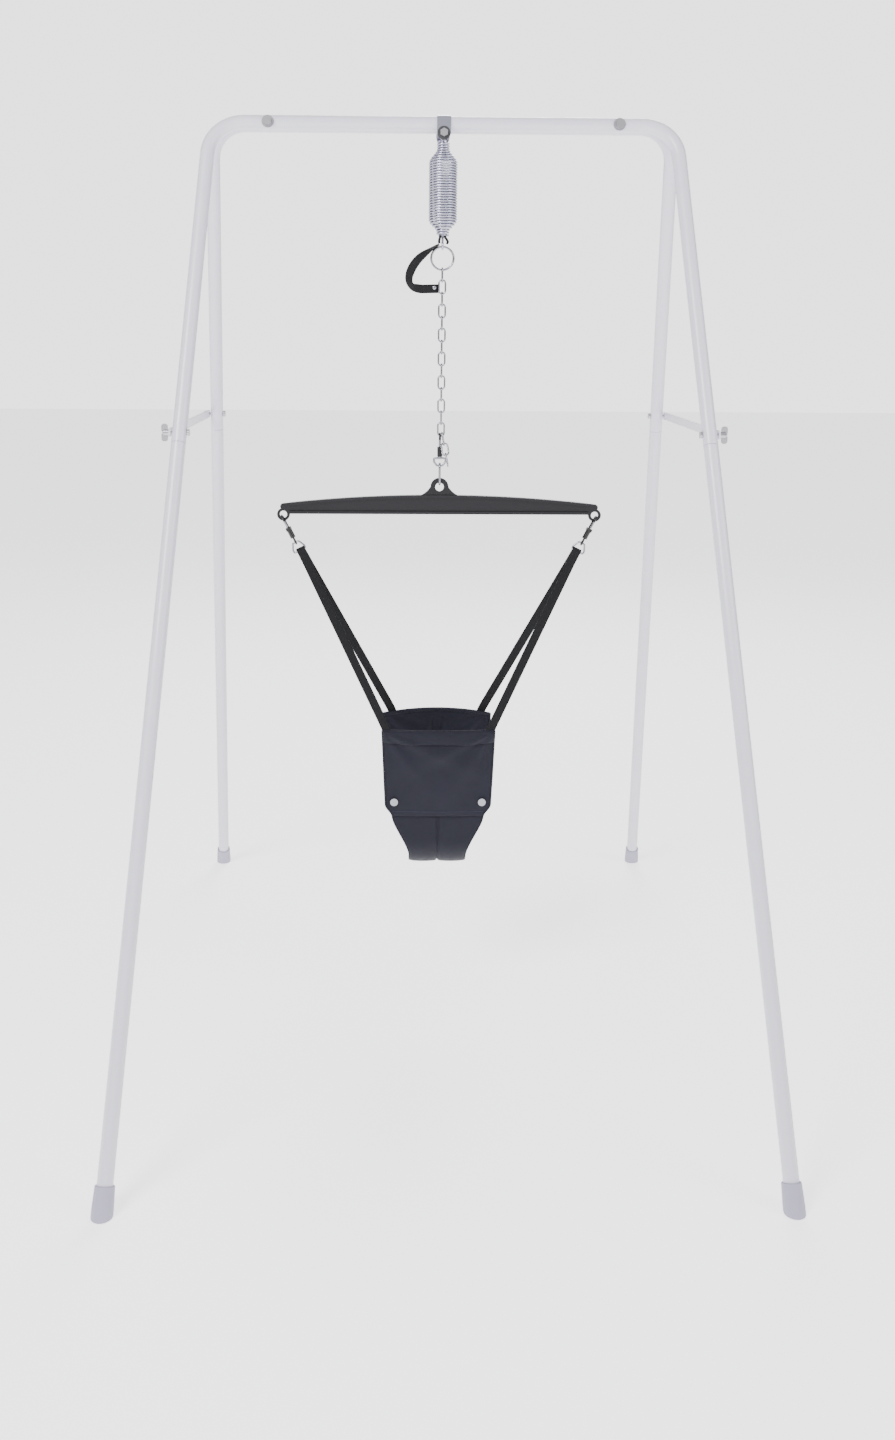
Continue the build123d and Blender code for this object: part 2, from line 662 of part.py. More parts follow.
# Snap hooks: a wire bend, a square base and a barrel, with a sprung gate in the open side
def hook_body(place, barrel):
    """The place's origin is the bend's centre, its Z the way up, its X across the loop."""
    side = Plane(origin=place.origin, x_dir=place.y_dir, z_dir=place.x_dir)
    with BuildPart() as body:
        with BuildLine(side) as route:
            Line((HOOK_BEND_R, -HOOK_LOOP), (HOOK_BEND_R, 0))
            ThreePointArc((HOOK_BEND_R, 0), (0, HOOK_BEND_R), (-HOOK_BEND_R, 0))
            Line((-HOOK_BEND_R, 0), (-HOOK_BEND_R, -4))
        path = route.wires()[0]
        with BuildSketch(Plane(origin=path @ 0, z_dir=path % 0)):
            Circle(HOOK_WIRE_R)
        sweep()
        with BuildSketch(place.offset(-HOOK_LOOP)):
            RectangleRounded(2 * HOOK_BARREL_R, 2 * (HOOK_BEND_R + HOOK_WIRE_R), 2)
        extrude(amount=-HOOK_BASE)
        with BuildSketch(place.offset(-HOOK_LOOP - HOOK_BASE)):
            Circle(HOOK_BARREL_R)
        extrude(amount=-barrel)
    return body


def hook_gate(place):
    gate_top = -4 - GATE_GAP
    with BuildPart() as gate:
        with BuildSketch(place.offset(gate_top)):
            with Locations((0, -HOOK_BEND_R)):
                Circle(GATE_R)
        extrude(amount=-(HOOK_LOOP - GATE_FOOT_GAP + gate_top))
    return gate


CHAIN_HOOK = Plane(origin=(HOOK_X, 0, HOOK_TOP_Z - HOOK_BEND_R), x_dir=(1, 0, 0), z_dir=(0, 0, 1))
chain_hook = hook_body(CHAIN_HOOK, CHAIN_BARREL)
save(chain_hook, "chain_hook")
save(hook_gate(CHAIN_HOOK), "chain_hook_gate")

# Swivel: a D ring under the chain hook, and the link between it and the spreader
SWIVEL_TOP = CHAIN_HOOK.origin.Z - HOOK_LOOP - HOOK_BASE - CHAIN_BARREL
SWIVEL_STEM = 3.0
D_TOP_Z = SWIVEL_TOP - MOVING_GAP - SWIVEL_STEM
D_LOW_Z = D_TOP_Z - SWIVEL_HEIGHT
with BuildPart() as swivel_ring:
    with BuildLine(Plane(origin=(HOOK_X, 0, D_TOP_Z), **ACROSS)) as route:
        FilletPolyline(
            (SWIVEL_HALF_WIDTH, 0),
            (SWIVEL_HALF_WIDTH, -SWIVEL_HEIGHT / 2),
            (SWIVEL_HALF_WIDTH / 2, -SWIVEL_HEIGHT),
            (-SWIVEL_HALF_WIDTH / 2, -SWIVEL_HEIGHT),
            (-SWIVEL_HALF_WIDTH, -SWIVEL_HEIGHT / 2),
            (-SWIVEL_HALF_WIDTH, 0),
            radius=SWIVEL_BEND_R,
            close=True,
        )
    path = route.wires()[0]
    with BuildSketch(Plane(origin=path @ 0, z_dir=path % 0)):
        Circle(CONNECTOR_WIRE_R)
    sweep()
    with BuildSketch(Plane.XY.offset(D_TOP_Z)):
        with Locations((HOOK_X, 0)):
            Circle(HOOK_BARREL_R - 1)
    extrude(amount=SWIVEL_STEM)
save(swivel_ring, "swivel_ring")

CONNECTOR_TOP = D_LOW_Z + 2 * CONNECTOR_WIRE_R + LINK_GAP
CONNECTOR_LOW = CONNECTOR_TOP - CONNECTOR_LENGTH
with BuildPart() as connector_link:
    middle = (HOOK_X, 0, (CONNECTOR_TOP + CONNECTOR_LOW) / 2)
    wire_loop(Plane(origin=middle, **ALONG), CONNECTOR_HALF_WIDTH, CONNECTOR_LENGTH / 2, CONNECTOR_WIRE_R)
save(connector_link, "connector_link")

# Spreader bar: a thin web with thick top and bottom ribs, a lug with the top hole, a hole at each end
TOP_HOLE_Z = CONNECTOR_LOW - (TOP_HOLE_R - CONNECTOR_WIRE_R - CONNECTOR_PLAY)
END_HOLE_Z = TOP_HOLE_Z - TOP_HOLE_RISE
BAR_LOW = 1.5
crown_z = BAR_LOW + BAR_CROWN
end_z = BAR_LOW + BAR_END_HEIGHT
BAR_PLANE = Plane(origin=(HOOK_X, 0, END_HOLE_Z), **ACROSS)
SPREADER_X = HOOK_X


def bar_outline():
    with BuildLine() as outline:
        low_right = Line((-END_HOLE_X, BAR_LOW), (END_HOLE_X, BAR_LOW))
        right = Line(low_right @ 1, (END_HOLE_X, end_z - 4))
        top = ThreePointArc(right @ 1, (0, crown_z), (-END_HOLE_X, end_z - 4))
        Line(top @ 1, low_right @ 0)
    make_face(outline.edges())
    with Locations((-END_HOLE_X, 0), (END_HOLE_X, 0)):
        Circle(BAR_END_R)
    with Locations((-END_HOLE_X, end_z - 4 - BAR_END_R / 2), (END_HOLE_X, end_z - 4 - BAR_END_R / 2)):
        Circle(BAR_END_R / 2)


with BuildPart() as spreader_bar:
    with BuildSketch(BAR_PLANE):
        bar_outline()
    extrude(amount=BAR_RIB_THICK / 2, both=True)
    for face in (-1, 1):
        with BuildSketch(BAR_PLANE.offset(face * BAR_WEB / 2)):
            with BuildLine():
                low = Line((-END_HOLE_X, BAR_LOW + BAR_RIB), (END_HOLE_X, BAR_LOW + BAR_RIB))
                right = Line(low @ 1, (END_HOLE_X, end_z - 4 - BAR_RIB))
                top = ThreePointArc(right @ 1, (0, crown_z - BAR_RIB), (-END_HOLE_X, end_z - 4 - BAR_RIB))
                Line(top @ 1, low @ 0)
            make_face()
        extrude(amount=face * BAR_RIB_THICK, mode=Mode.SUBTRACT)
        with BuildSketch(BAR_PLANE.offset(face * BAR_WEB / 2)):
            for side in SIDES.values():
                with Locations((side * (END_HOLE_X + BAR_END_R), 0)):
                    Rectangle(4 * BAR_END_R, 2 * (BAR_END_R + 1) + end_z)
        extrude(amount=face * BAR_RIB_THICK, mode=Mode.SUBTRACT)
    with BuildSketch(BAR_PLANE):
        with BuildLine():
            base = Line((-LUG_BASE_HALF, crown_z - BAR_RIB), (LUG_BASE_HALF, crown_z - BAR_RIB))
            root = Line(base @ 1, (LUG_BASE_HALF, crown_z - LUG_ROOT))
            flank = ThreePointArc(root @ 1, (LUG_BASE_HALF / 2, crown_z + 2), (LUG_R, TOP_HOLE_RISE))
            crown_arc = ThreePointArc(flank @ 1, (0, TOP_HOLE_RISE + LUG_R), (-LUG_R, TOP_HOLE_RISE))
            far_flank = ThreePointArc(
                crown_arc @ 1, (-LUG_BASE_HALF / 2, crown_z + 2), (-LUG_BASE_HALF, crown_z - LUG_ROOT)
            )
            Line(far_flank @ 1, base @ 0)
        make_face()
    extrude(amount=LUG_THICK / 2, both=True)
    with BuildSketch(BAR_PLANE):
        with Locations((0, TOP_HOLE_RISE)):
            Circle(TOP_HOLE_R)
        with Locations((-END_HOLE_X, 0), (END_HOLE_X, 0)):
            Circle(END_HOLE_R)
    extrude(amount=BAR_RIB_THICK, both=True, mode=Mode.SUBTRACT)
save(spreader_bar, "spreader_bar")

# End hooks and D rings, in line with the straps they carry
LOBE_Z = END_HOLE_Z - (END_HOLE_R + BAR_END_R) / 2
SEAT_TOP = LOBE_Z - SEAT_DROP
HOOK_LEAN = atan2(END_HOLE_X - STRAP_X, SEAT_DROP)


def end_hook_plane(hand):
    """Hangs from the end hole's lower edge, with its Z pointing up along the strap."""
    up = Vector(hand * sin(HOOK_LEAN), 0, cos(HOOK_LEAN))
    across = Vector(cos(HOOK_LEAN), 0, -hand * sin(HOOK_LEAN))
    return Plane(origin=(SPREADER_X + hand * END_HOLE_X, 0, LOBE_Z), x_dir=across, z_dir=up)


STEM_LENGTH = 4.0
HOOK_EYE_R = 5.0
HOOK_EYE_WIRE_R = 1.5
HOOK_FOOT = -(HOOK_LOOP + HOOK_BASE + END_BARREL)
HOOK_EYE_DROP = HOOK_FOOT - 2 - HOOK_EYE_R - HOOK_EYE_WIRE_R
D_TOP_DROP = HOOK_EYE_DROP - (HOOK_EYE_R - HOOK_EYE_WIRE_R - D_WIRE_R - LINK_GAP)


def end_hook(hand):
    place = end_hook_plane(hand)
    body = hook_body(place, END_BARREL)
    with BuildPart() as hook:
        add(body.part)
        with BuildSketch(place.offset(HOOK_FOOT)):
            Circle(HOOK_WIRE_R)
        extrude(amount=-STEM_LENGTH)
        eye_centre = place.from_local_coords(Vector(0, 0, HOOK_EYE_DROP))
        with Locations(Plane(origin=eye_centre, x_dir=place.y_dir, z_dir=place.x_dir)):
            Torus(HOOK_EYE_R, HOOK_EYE_WIRE_R)
    return hook


def d_ring(hand):
    place = end_hook_plane(hand)
    centre = place.from_local_coords(Vector(0, 0, D_TOP_DROP))
    face = Plane(origin=centre, x_dir=place.x_dir, z_dir=-place.y_dir)
    with BuildPart() as ring:
        with BuildLine(face) as route:
            FilletPolyline(
                (D_HALF_WIDTH, -D_HEIGHT),
                (D_HALF_WIDTH, -D_HEIGHT + D_SIDE),
                (D_HALF_WIDTH / 2, 0),
                (-D_HALF_WIDTH / 2, 0),
                (-D_HALF_WIDTH, -D_HEIGHT + D_SIDE),
                (-D_HALF_WIDTH, -D_HEIGHT),
                radius=2.5,
                close=True,
            )
        path = route.wires()[0]
        with BuildSketch(Plane(origin=path @ 0, z_dir=path % 0)):
            Circle(D_WIRE_R)
        sweep()
    return ring


for hand_name, hand in SIDES.items():
    save(end_hook(hand), f"end_hook_{hand_name}")
    save(hook_gate(end_hook_plane(hand)), f"end_hook_gate_{hand_name}")
    save(d_ring(hand), f"d_ring_{hand_name}")

# Seat: a sling with a U section, cut to the outline of each panel
SEAT_LOW = SEAT_TOP - SEAT_HEIGHT
SEAT_BEND_Z = SEAT_LOW + SEAT_THICK / 2 + SEAT_BEND_R
HEM_Z = SEAT_TOP - PANEL_HEIGHT
SEAT_X = SPREADER_X


def wall_y(z):
    """Distance of a panel's middle from the seat's centre plane at a height."""
    share = (z - SEAT_BEND_Z) / (SEAT_TOP - SEAT_BEND_Z)
    return SEAT_BEND_R + share * (SEAT_TOP_Y - SEAT_BEND_R)


def sling_face(grow, top):
    """The filled U section, grown from the sling's middle surface."""
    high = wall_y(top) + grow
    low = SEAT_BEND_R + grow
    with BuildLine() as section:
        front = Line((-high, top), (-low, SEAT_BEND_Z))
        turn = ThreePointArc(front @ 1, (0, SEAT_BEND_Z - low), (low, SEAT_BEND_Z))
        back = Line(turn @ 1, (high, top))
        Line(back @ 1, front @ 0)
    make_face(section.edges())


def sling(top):
    with BuildPart() as shell:
        with BuildSketch(Plane.YZ.offset(SEAT_X)):
            sling_face(SEAT_THICK / 2, top)
        extrude(amount=2 * PANEL_TOP_HALF, both=True)
        with BuildSketch(Plane.YZ.offset(SEAT_X)):
            sling_face(-SEAT_THICK / 2, top)
        extrude(amount=3 * PANEL_TOP_HALF, both=True, mode=Mode.SUBTRACT)
    return shell


OUTLINE = Plane(origin=(SEAT_X, 0, 0), x_dir=(1, 0, 0), z_dir=(0, -1, 0))
CORNER_Z = HEM_Z + HEM_CORNER


def panel_sides():
    """The part of a panel's outline that front and back share, from the right top corner round."""
    return [
        (PANEL_TOP_HALF, SEAT_TOP),
        (PANEL_LOW_HALF, CORNER_Z),
        (HEM_HALF, HEM_Z + SOFT_GAP),
        (-HEM_HALF, HEM_Z + SOFT_GAP),
        (-PANEL_LOW_HALF, CORNER_Z),
        (-PANEL_TOP_HALF, SEAT_TOP),
    ]


with BuildPart() as seat_front_panel:
    add(sling(SEAT_TOP).part)
    with BuildSketch(OUTLINE):
        with BuildLine():
            Polyline(*panel_sides(), close=True)
        make_face()
    extrude(amount=2 * SEAT_TOP_Y, mode=Mode.INTERSECT)
save(seat_front_panel, "seat_front_panel")

with BuildPart() as seat_back_panel:
    add(sling(SEAT_TOP + BACK_ARCH).part)
    with BuildSketch(OUTLINE):
        with BuildLine():
            sides = Polyline(*panel_sides())
            ThreePointArc(sides @ 1, (0, SEAT_TOP + BACK_ARCH), sides @ 0)
        make_face()
    extrude(amount=-2 * SEAT_TOP_Y, mode=Mode.INTERSECT)
save(seat_back_panel, "seat_back_panel")

with BuildPart() as seat_crotch:
    add(sling(SEAT_TOP).part)
    with BuildSketch(OUTLINE):
        with BuildLine():
            Polyline(
                (HEM_HALF, HEM_Z),
                (CROTCH_MID_HALF, HEM_Z - CROTCH_MID_DROP),
                (CROTCH_LOW_HALF, HEM_Z - CROTCH_LOW_DROP),
                (CROTCH_LOW_HALF, SEAT_LOW - 1),
                (-CROTCH_LOW_HALF, SEAT_LOW - 1),
                (-CROTCH_LOW_HALF, HEM_Z - CROTCH_LOW_DROP),
                (-CROTCH_MID_HALF, HEM_Z - CROTCH_MID_DROP),
                (-HEM_HALF, HEM_Z),
                close=True,
            )
        make_face()
    extrude(amount=2 * SEAT_TOP_Y, both=True, mode=Mode.INTERSECT)
save(seat_crotch, "seat_crotch")

with BuildPart() as seat_front_band:
    band_low = SEAT_TOP - BAND_HEIGHT
    face_gap = SEAT_THICK / 2 + SOFT_GAP
    with BuildSketch(Plane.YZ.offset(SEAT_X)):
        with BuildLine():
            Polyline(
                (-wall_y(SEAT_TOP) - face_gap, SEAT_TOP),
                (-wall_y(band_low) - face_gap, band_low),
                (-wall_y(band_low) - face_gap - BAND_THICK, band_low),
                (-wall_y(SEAT_TOP) - face_gap - BAND_THICK, SEAT_TOP),
                close=True,
            )
        make_face()
    extrude(amount=PANEL_TOP_HALF, both=True)
save(seat_front_band, "seat_front_band")

SNAP_Z = HEM_Z + SNAP_RISE
with BuildPart() as seat_snaps:
    for side in SIDES.values():
        middle = -wall_y(SNAP_Z) - SEAT_THICK / 2 - 2 * SOFT_GAP - SNAP_THICK / 2
        depth_cylinder((SEAT_X + side * SNAP_X, middle, SNAP_Z), SNAP_R, SNAP_THICK)
save(seat_snaps, "seat_snaps")


# Seat straps: webbing from each D ring to the top corners of the two panels
STRAP_START = D_TOP_DROP - D_HEIGHT - D_WIRE_R - 1.0
STRAP_CUT = {FRONT: SEAT_TOP + SOFT_GAP, REAR: SEAT_TOP + SOFT_GAP + BACK_ARCH / 2}
STRAP_OFFSET = STRAP_THICK / 2 + SOFT_GAP
FRONT_LAND_X = STRAP_X + 5.0
BACK_LAND_X = STRAP_X - 5.0


def seat_strap(hand, end):
    land_x = FRONT_LAND_X if end == FRONT else BACK_LAND_X
    start = end_hook_plane(hand).from_local_coords(Vector(0, 0, STRAP_START))
    start = Vector(start.X, end * STRAP_OFFSET, start.Z)
    stop = Vector(SEAT_X + hand * land_x, end * wall_y(SEAT_TOP), SEAT_TOP)
    run = stop - start
    across = Vector(0, 1, 0).cross(run).normalized()
    with BuildPart() as strap:
        with BuildSketch(Plane(origin=start, x_dir=across, z_dir=run.normalized())):
            Rectangle(STRAP_WIDTH, STRAP_THICK)
        extrude(amount=run.length + STRAP_WIDTH)
        split(bisect_by=Plane.XY.offset(STRAP_CUT[end]), keep=Keep.TOP)
    return strap


for hand_name, hand in SIDES.items():
    save(seat_strap(hand, FRONT), f"front_strap_{hand_name}")
    save(seat_strap(hand, REAR), f"back_strap_{hand_name}")
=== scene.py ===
# %% [markdown]
# # A baby jumper on its own stand
#
# The frame holds every hard piece at its real size and place: tubes, bolts, chain, hooks and the spreader.
# This lesson keeps those pieces and gives them their finishes, then makes what a solid can't show well:
# the coiled spring, the webbing straps and the sewn sling seat.

import json
from math import atan2, cos, exp, hypot, pi, radians, sin

import bpy
from mathutils import Matrix, Vector


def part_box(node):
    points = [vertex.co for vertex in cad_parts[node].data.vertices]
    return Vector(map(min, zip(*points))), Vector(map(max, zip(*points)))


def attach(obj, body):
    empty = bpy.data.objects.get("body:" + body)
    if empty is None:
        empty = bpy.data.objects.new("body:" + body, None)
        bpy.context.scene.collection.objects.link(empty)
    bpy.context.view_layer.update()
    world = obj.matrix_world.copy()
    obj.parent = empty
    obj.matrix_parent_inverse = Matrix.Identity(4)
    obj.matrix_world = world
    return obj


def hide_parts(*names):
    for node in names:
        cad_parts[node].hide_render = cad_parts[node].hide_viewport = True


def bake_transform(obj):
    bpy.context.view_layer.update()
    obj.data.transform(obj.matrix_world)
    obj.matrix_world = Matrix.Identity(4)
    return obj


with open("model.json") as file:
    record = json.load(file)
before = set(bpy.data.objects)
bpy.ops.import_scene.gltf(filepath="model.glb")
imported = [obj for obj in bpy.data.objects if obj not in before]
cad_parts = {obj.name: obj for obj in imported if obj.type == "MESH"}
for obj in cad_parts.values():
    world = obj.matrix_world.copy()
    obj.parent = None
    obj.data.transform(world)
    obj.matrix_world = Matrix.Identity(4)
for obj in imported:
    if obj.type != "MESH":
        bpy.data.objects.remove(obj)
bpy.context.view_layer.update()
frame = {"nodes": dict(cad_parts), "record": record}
MM = 0.001
print("pieces in the frame:", len(frame["nodes"]))

# %% [markdown]
# ## Shared surface effects
#
# Real paint, plastic and cloth are never one flat tone. Two small node groups carry the effects that
# several finishes share: a fine grain that varies shade and roughness, and a weave of two crossed
# threads. Each finish places a group with its own values, so the effect is built only once.


# %% A helper for node groups
def new_group(name, inputs, outputs):
    """A shader node group with (name, type, default) inputs and (name, type) outputs."""
    group = bpy.data.node_groups.new(name, "ShaderNodeTree")
    for title, kind, value in inputs:
        socket = group.interface.new_socket(title, in_out="INPUT", socket_type=kind)
        socket.default_value = value
    for title, kind in outputs:
        group.interface.new_socket(title, in_out="OUTPUT", socket_type=kind)
    return group


def math_node(tree, operation, first, second):
    """A Math node whose inputs are sockets or plain numbers."""
    node = tree.nodes.new("ShaderNodeMath")
    node.operation = operation
    for index, value in enumerate((first, second)):
        if isinstance(value, (int, float)):
            node.inputs[index].default_value = value
        else:
            tree.links.new(value, node.inputs[index])
    return node.outputs[0]


# %% The fine grain group
COLOUR = "NodeSocketColor"
NUMBER = "NodeSocketFloat"
grain = new_group(
    "Fine grain",
    [
        ("Colour", COLOUR, (0.8, 0.8, 0.8, 1)),
        ("Scale", NUMBER, 200.0),
        ("Shade", NUMBER, 0.1),
        ("Roughness", NUMBER, 0.4),
    ],
    [("Colour", COLOUR), ("Roughness", NUMBER), ("Height", NUMBER)],
)


def build_grain(tree):
    nodes = tree.nodes
    link = tree.links.new
    start = nodes.new("NodeGroupInput")
    stop = nodes.new("NodeGroupOutput")
    place = nodes.new("ShaderNodeTexCoord")
    fine = nodes.new("ShaderNodeTexNoise")
    fine.inputs["Detail"].default_value = 6
    link(place.outputs["Object"], fine.inputs["Vector"])
    link(start.outputs["Scale"], fine.inputs["Scale"])
    broad = nodes.new("ShaderNodeTexNoise")
    broad.inputs["Scale"].default_value = 9
    link(place.outputs["Object"], broad.inputs["Vector"])
    centred = math_node(tree, "SUBTRACT", broad.outputs["Fac"], 0.5)
    swing = math_node(tree, "MULTIPLY", centred, start.outputs["Shade"])
    shade = nodes.new("ShaderNodeHueSaturation")
    link(math_node(tree, "ADD", swing, 1.0), shade.inputs["Value"])
    link(start.outputs["Colour"], shade.inputs["Color"])
    rough_swing = math_node(tree, "MULTIPLY", math_node(tree, "SUBTRACT", fine.outputs["Fac"], 0.5), 0.16)
    link(shade.outputs["Color"], stop.inputs["Colour"])
    link(math_node(tree, "ADD", rough_swing, start.outputs["Roughness"]), stop.inputs["Roughness"])
    link(fine.outputs["Fac"], stop.inputs["Height"])


build_grain(grain)
print("group:", grain.name)

# %% [markdown]
# The weave reads the piece's own UV map, in metres of cloth, so the threads follow the strap or panel
# round every bend. Each thread is a sine ridge, and the two directions pass over and under each other.

# %% The weave group
weave = new_group(
    "Crossed weave",
    [("Colour", COLOUR, (0.02, 0.02, 0.04, 1)), ("Threads", NUMBER, 900.0), ("Contrast", NUMBER, 0.5)],
    [("Colour", COLOUR), ("Height", NUMBER)],
)


def build_weave(tree):
    nodes = tree.nodes
    link = tree.links.new
    start = nodes.new("NodeGroupInput")
    stop = nodes.new("NodeGroupOutput")
    place = nodes.new("ShaderNodeTexCoord")
    parts = nodes.new("ShaderNodeSeparateXYZ")
    link(place.outputs["UV"], parts.inputs[0])
    turns = math_node(tree, "MULTIPLY", start.outputs["Threads"], 2 * pi)
    across = math_node(tree, "SINE", math_node(tree, "MULTIPLY", parts.outputs["X"], turns), 0)
    along = math_node(tree, "SINE", math_node(tree, "MULTIPLY", parts.outputs["Y"], turns), 0)
    crossed = math_node(tree, "MULTIPLY", across, along)
    height = math_node(tree, "ADD", math_node(tree, "MULTIPLY", crossed, 0.5), 0.5)
    wear = nodes.new("ShaderNodeTexNoise")
    wear.inputs["Scale"].default_value = 14
    link(place.outputs["UV"], wear.inputs["Vector"])
    swing = math_node(tree, "MULTIPLY", math_node(tree, "SUBTRACT", height, 0.5), start.outputs["Contrast"])
    thread_shade = math_node(tree, "ADD", swing, 0.75)
    worn_shade = math_node(tree, "MULTIPLY", wear.outputs["Fac"], 0.5)
    value = math_node(tree, "ADD", thread_shade, worn_shade)
    shade = nodes.new("ShaderNodeHueSaturation")
    link(value, shade.inputs["Value"])
    link(start.outputs["Colour"], shade.inputs["Color"])
    link(shade.outputs["Color"], stop.inputs["Colour"])
    link(height, stop.inputs["Height"])


build_weave(weave)
print("group:", weave.name)


# %% [markdown]
# ## Finishes
#
# The stand is white powder coat, whose faint orange peel comes from the grain's height. The feet are
# lilac-grey plastic. Bolts are zinc, the clamp strap and chain are bright plated steel, and the hooks and
# spreader are black. Cloth gets the weave and a little sheen, which lifts the edges of dark fabric.


# %% Two makers of finishes
def bump(tree, height, strength, distance, shader):
    node = tree.nodes.new("ShaderNodeBump")
    node.inputs["Strength"].default_value = strength
    node.inputs["Distance"].default_value = distance
    tree.links.new(height, node.inputs["Height"])
    tree.links.new(node.outputs["Normal"], shader.inputs["Normal"])


def hard_finish(name, colour, metallic, roughness, scale=260, shade=0.08, peel=0.15, coat=0.0, shine=0.5):
    material = bpy.data.materials.new(name)
    material.use_nodes = True
    tree = material.node_tree
    shader = tree.nodes["Principled BSDF"]
    group = tree.nodes.new("ShaderNodeGroup")
    group.node_tree = grain
    group.inputs["Colour"].default_value = (*colour, 1)
    group.inputs["Scale"].default_value = scale
    group.inputs["Shade"].default_value = shade
    group.inputs["Roughness"].default_value = roughness
    tree.links.new(group.outputs["Colour"], shader.inputs["Base Color"])
    tree.links.new(group.outputs["Roughness"], shader.inputs["Roughness"])
    shader.inputs["Metallic"].default_value = metallic
    shader.inputs["Specular IOR Level"].default_value = shine
    shader.inputs["Coat Weight"].default_value = coat
    shader.inputs["Coat Roughness"].default_value = 0.2
    bump(tree, group.outputs["Height"], peel, 0.0003, shader)
    return material


def cloth_finish(name, colour, threads, contrast, roughness=0.8, sheen=0.3):
    material = bpy.data.materials.new(name)
    material.use_nodes = True
    tree = material.node_tree
    shader = tree.nodes["Principled BSDF"]
    group = tree.nodes.new("ShaderNodeGroup")
    group.node_tree = weave
    group.inputs["Colour"].default_value = (*colour, 1)
    group.inputs["Threads"].default_value = threads
    group.inputs["Contrast"].default_value = contrast
    tree.links.new(group.outputs["Colour"], shader.inputs["Base Color"])
    shader.inputs["Roughness"].default_value = roughness
    shader.inputs["Specular IOR Level"].default_value = 0.22
    shader.inputs["Sheen Weight"].default_value = sheen
    shader.inputs["Sheen Roughness"].default_value = 0.4
    bump(tree, group.outputs["Height"], 0.5, 0.0003, shader)
    return material


# %% The finishes themselves
finishes = {
    "white_powder_coat": hard_finish(
        "White powder coat", (0.66, 0.65, 0.74), 0.0, 0.32, 420, 0.04, 0.12, 0.25
    ),
    "grey_cap_plastic": hard_finish("Grey cap plastic", (0.36, 0.34, 0.44), 0.0, 0.5, 300, 0.06, 0.2),
    "zinc_hardware": hard_finish("Zinc hardware", (0.46, 0.45, 0.48), 1.0, 0.3, 500, 0.3, 0.1),
    "dark_washer": hard_finish("Dark washer", (0.03, 0.03, 0.035), 0.0, 0.55),
    "polished_strap": hard_finish("Polished strap", (0.42, 0.42, 0.50), 1.0, 0.14, 300, 0.2, 0.03),
    "spring_steel": hard_finish("Spring steel", (0.44, 0.44, 0.53), 1.0, 0.26, 600, 0.15, 0.05),
    "bright_chain": hard_finish("Bright chain", (0.30, 0.30, 0.33), 1.0, 0.2, 500, 0.2, 0.05),
    "black_hook": hard_finish("Black hook", (0.005, 0.005, 0.006), 0.0, 0.3, 300, 0.2, 0.08, 0.15, 0.4),
    "black_plastic": hard_finish(
        "Black plastic", (0.005, 0.0045, 0.007), 0.0, 0.36, 260, 0.2, 0.15, 0.0, 0.35
    ),
    "black_webbing": cloth_finish("Black webbing", (0.005, 0.005, 0.006), 700, 0.9, 0.75, 0.05),
    "navy_fabric": cloth_finish("Navy fabric", (0.0055, 0.0055, 0.013), 1100, 0.7, 0.6, 0.06),
}
for part in frame["record"]["subparts"]:
    piece = frame["nodes"][part["node"]]
    piece.data.materials.clear()
    piece.data.materials.append(finishes[part["material_slot"]])
print("finishes:", len(finishes))


# %% [markdown]
# ## Tools for bent sheets
#
# Webbing and cloth panels start as a flat grid. The grid is one rectangle of cloth, and its two counters
# run across and along it, so each point can be carried to its place on the real piece, the way a flat cut
# is laid over a form. Solidify then gives the sheet its thickness and Subdivision rounds it.


# %% Lay a flat grid over a form
def deselect():
    if bpy.context.object and bpy.context.object.mode != "OBJECT":
        bpy.ops.object.mode_set(mode="OBJECT")
    bpy.ops.object.select_all(action="DESELECT")


def laid_sheet(name, columns, rows, size, place, thickness, material, smooth=1):
    """A grid whose point at (across -1..1, along 0..1) is carried to place(across, along)."""
    deselect()
    bpy.ops.mesh.primitive_grid_add(x_subdivisions=columns, y_subdivisions=rows, size=2)
    piece = bpy.context.object
    piece.name = name
    mesh = piece.data
    uv = mesh.uv_layers.active.data
    for corner in mesh.loops:
        flat = mesh.vertices[corner.vertex_index].co
        uv[corner.index].uv = (flat.x * size[0] / 2, flat.y * size[1] / 2)
    for point in mesh.vertices:
        point.co = Vector(place(point.co.x, (point.co.y + 1) / 2))
    thicken = piece.modifiers.new("thickness", "SOLIDIFY")
    thicken.thickness = thickness
    thicken.offset = 0
    if smooth:
        rounded = piece.modifiers.new("round", "SUBSURF")
        rounded.levels = smooth
        rounded.render_levels = smooth
    for modifier in list(piece.modifiers):
        bpy.ops.object.modifier_apply(modifier=modifier.name)
    bpy.ops.object.mode_set(mode="EDIT")
    bpy.ops.mesh.select_all(action="SELECT")
    bpy.ops.mesh.normals_make_consistent(inside=False)
    bpy.ops.object.mode_set(mode="OBJECT")
    bpy.ops.object.shade_smooth()
    mesh.materials.clear()
    mesh.materials.append(material)
    return piece


def along_path(stations, share):
    """The point at a share of a list of points, on a smooth curve through them."""
    spot = share * (len(stations) - 1)
    index = min(int(spot), len(stations) - 2)
    t = spot - index
    before = stations[max(index - 1, 0)]
    here = stations[index]
    after = stations[index + 1]
    beyond = stations[min(index + 2, len(stations) - 1)]
    return 0.5 * (
        2 * here + (after - before) * t + (2 * before - 5 * here + 4 * after - beyond) * t**2
        + (3 * here - before - 3 * after + beyond) * t**3
    )


def centre(node):
    low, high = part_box(node)
    return (Vector(low) + Vector(high)) / 2


